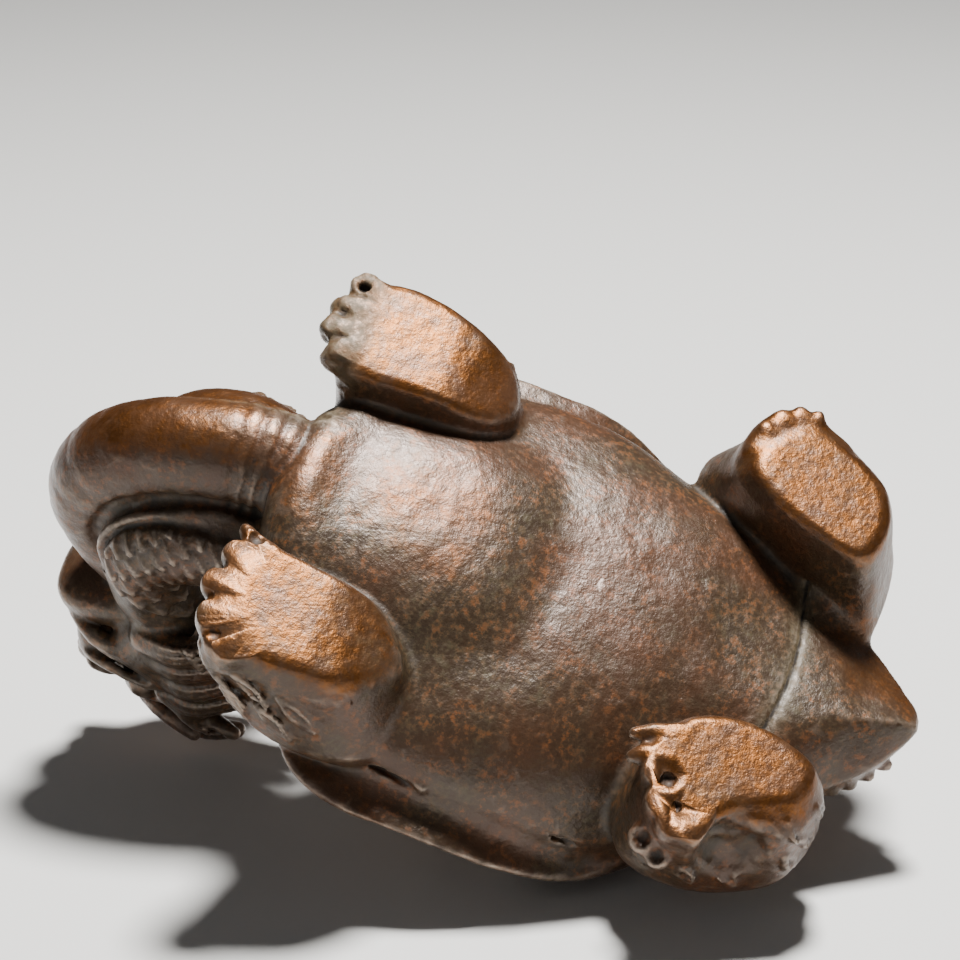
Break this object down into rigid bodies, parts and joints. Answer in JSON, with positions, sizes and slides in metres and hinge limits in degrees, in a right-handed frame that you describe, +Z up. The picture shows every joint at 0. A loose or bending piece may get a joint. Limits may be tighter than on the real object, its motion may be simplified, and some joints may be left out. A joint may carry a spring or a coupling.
{
  "type": "dragon turtle tea pet",
  "caption": "Small cast bronze dragon turtle ornament with a curled neck, domed shell, pointed tail and flat-soled feet that stand on a tea tray.",
  "frame": {"origin": "under the middle of the bounding box, on the plane of the four soles", "axes": "+X towards the turtle's left flank, +Y towards the tail, +Z up from the soles; the head looks along -Y"},
  "size_m": [0.0616, 0.1029, 0.0538],
  "materials": {
    "bronze": "dark brown bronze patina with a soft sheen, copper wear on the high spots and olive dirt in the hollows"
  },
  "bodies": {
    "root": {"dragon_turtle": "bronze"}
  },
  "joints": []
}
